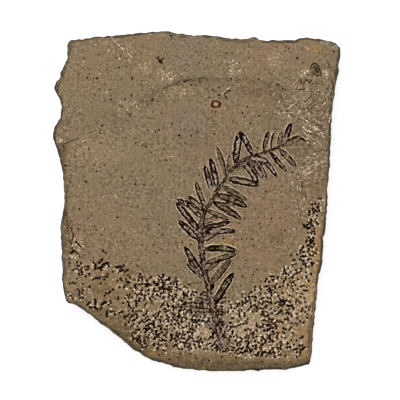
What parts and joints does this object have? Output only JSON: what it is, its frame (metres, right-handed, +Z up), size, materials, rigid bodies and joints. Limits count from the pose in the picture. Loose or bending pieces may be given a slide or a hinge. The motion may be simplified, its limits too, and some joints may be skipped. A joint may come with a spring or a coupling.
{
  "type": "fossil dawn redwood plate",
  "caption": "Thin broken shale plate with a flat back and a carbonised dawn redwood shoot pressed on its upper bedding plane.",
  "frame": {"origin": "on the underside, below the middle of the plate's outline", "axes": "+Z up out of the fossil face, +Y toward the far edge with the curved step, +X toward the long right edge that the shoot's tip points to"},
  "size_m": [0.1036, 0.1226, 0.0097],
  "materials": {
    "shale": "matt, fine-grained, olive brown with pinkish patches",
    "carbon": "dull black-brown carbon film with a faint sheen"
  },
  "bodies": {
    "root": {"shale_slab": "shale", "redwood_sprig": "carbon"}
  },
  "joints": []
}
